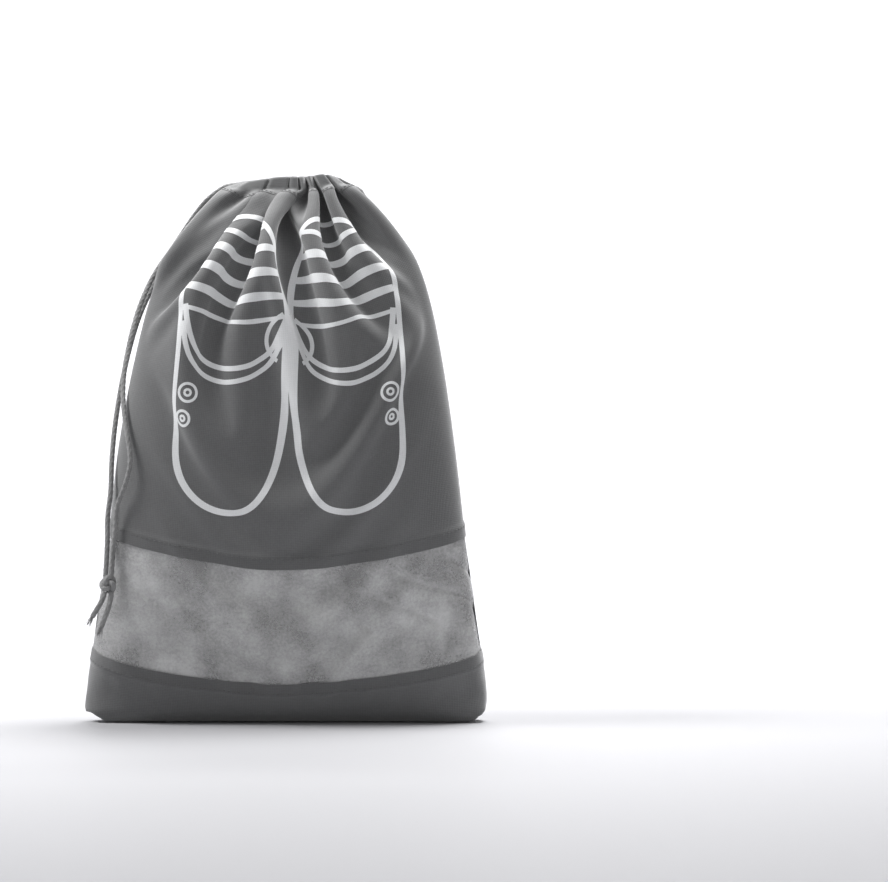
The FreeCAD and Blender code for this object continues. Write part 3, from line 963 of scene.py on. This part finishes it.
def frayed(name, line, count, seed):
    """Loose fibres at a cut end of the cord, splayed a little."""
    rng = np.random.default_rng(seed)
    tip = line[-1]
    along = line[-1] - line[-6]
    along /= np.linalg.norm(along)
    vertices, faces = [], []
    for _ in range(count):
        bend = rng.normal(0, 1, 3)
        bend -= along * (bend @ along)
        root = tip - along * 0.0015 + bend * 0.0005
        length = rng.uniform(0.004, 0.0085)
        spread = rng.uniform(0.1, 0.5)
        share = np.linspace(0, 1, 7)[:, None]
        fibre = root + along * length * share + bend * (0.45 * spread * length * share ** 1.7)
        fibre[:, 2] -= 0.0010 * share[:, 0] ** 2
        tube_vertices, tube_faces = braided_tube(fibre, 0.00014, around=5)
        start = len(vertices)
        vertices += list(tube_vertices)
        faces += [tuple(start + i for i in face) for face in tube_faces]
    return new_object(name, vertices, faces, CORD_MATERIAL)


short_fray = frayed("short_end_fibres", end_short_line, 34, 3)
long_fray = frayed("long_end_fibres", end_long_line, 34, 5)


# ---------------------------------------------------------------- bodies, replaced nodes and finishes
FRONT_PIECES = (front_upper, shoe_print, front_channel, front_stitches, front_drawcord)
BACK_PIECES = (back_cloth, left_allowance, right_allowance, back_channel, back_stitches, back_drawcord)
for pieces, body, forward in ((FRONT_PIECES, "front_mouth", -1), (BACK_PIECES, "back_mouth", 1)):
    for piece in pieces:
        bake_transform(piece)
for piece in (lower_band, window_film, top_hem, bottom_hem, bottom_allowance, top_stitches, bottom_stitches):
    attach(piece, "root")
for piece in (tail_front, tail_rear):
    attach(piece, "cord_tails")
    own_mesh(piece)
for piece in (knot, end_short, end_long, short_fray, long_fray):
    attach(piece, "knotted_ends")

for piece, node, finish in (
        (back_cloth, "back_panel", "nonwoven_cloth"),
        (front_upper, "front_upper_panel", "nonwoven_cloth"),
        (lower_band, "front_lower_band", "nonwoven_cloth"),
        (window_film, "clear_window", "clear_film"),
        (top_hem, "window_top_hem", "nonwoven_cloth"),
        (bottom_hem, "window_bottom_hem", "nonwoven_cloth"),
        (left_allowance, "left_seam_allowance", "nonwoven_cloth"),
        (right_allowance, "right_seam_allowance", "nonwoven_cloth"),
        (bottom_allowance, "bottom_seam_allowance", "nonwoven_cloth"),
        (top_stitches, "window_top_stitching", "sewing_thread"),
        (bottom_stitches, "window_bottom_stitching", "sewing_thread"),
        (front_channel, "front_mouth_channel", "nonwoven_cloth"),
        (back_channel, "back_mouth_channel", "nonwoven_cloth"),
        (front_stitches, "front_channel_stitching", "sewing_thread"),
        (back_stitches, "back_channel_stitching", "sewing_thread"),
        (front_drawcord, "drawcord_front", "braided_cord"),
        (back_drawcord, "drawcord_back", "braided_cord"),
        (tail_front, "cord_tail_front", "braided_cord"),
        (tail_rear, "cord_tail_rear", "braided_cord"),
        (knot, "cord_knot", "braided_cord"),
        (end_short, "cord_end_short", "braided_cord"),
        (end_long, "cord_end_long", "braided_cord")):
    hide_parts(node)


# ---------------------------------------------------------------- floor, lights and camera
def stage_material():
    look = Look("pale_floor")
    return look.surface(Base_Color=(0.43, 0.43, 0.445, 1), Roughness=0.6, Specular_IOR_Level=0.2)


def sweep():
    """A pale floor that curves up into a backdrop."""
    turn = np.linspace(0, math.pi / 2, 16)
    curve = [(1.6 + 0.8 * math.sin(a), 0.8 - 0.8 * math.cos(a)) for a in turn]
    profile = [(-3.5, 0.0)] + curve + [(2.4, 3.5)]
    vertices = [(x, y, z) for y, z in profile for x in (-4.0, 4.0)]
    faces = [(2 * i, 2 * i + 1, 2 * i + 3, 2 * i + 2) for i in range(len(profile) - 1)]
    return new_object("floor", vertices, faces, stage_material())


def area_light(name, place, target, size, power):
    lamp = bpy.data.lights.new(name, "AREA")
    lamp.shape = "DISK"
    lamp.size = size
    lamp.energy = power
    holder = bpy.data.objects.new(name, lamp)
    holder.location = place
    holder.rotation_euler = (Vector(target) - Vector(place)).to_track_quat("-Z", "Y").to_euler()
    bpy.context.scene.collection.objects.link(holder)


sweep()
area_light("key", (-0.9, -0.15, 1.35), (0, 0, 0.28), 0.6, 24)
area_light("overhead", (0.42, 0.22, 1.5), (0, 0, 0.33), 0.7, 26)
area_light("fill", (1.2, -1.8, 0.8), (0, 0, 0.2), 1.4, 4)
area_light("backdrop", (0.1, 1.3, 1.9), (0.1, 2.4, 0.6), 1.5, 95)

world = bpy.data.worlds.new("studio")
world.use_nodes = True
background = world.node_tree.nodes["Background"]
background.inputs["Color"].default_value = (1, 1, 1, 1)
background.inputs["Strength"].default_value = 0.24
bpy.context.scene.world = world
bpy.context.scene.view_settings.view_transform = "Standard"

lens = bpy.data.cameras.new("camera")
lens.lens = 121
lens.sensor_width = 36
lens.clip_end = 20
camera = bpy.data.objects.new("camera", lens)
camera.location = (0.115, -2.2, 0.2065)
camera.rotation_euler = (math.pi / 2, 0, 0)
bpy.context.scene.collection.objects.link(camera)
bpy.context.scene.camera = camera
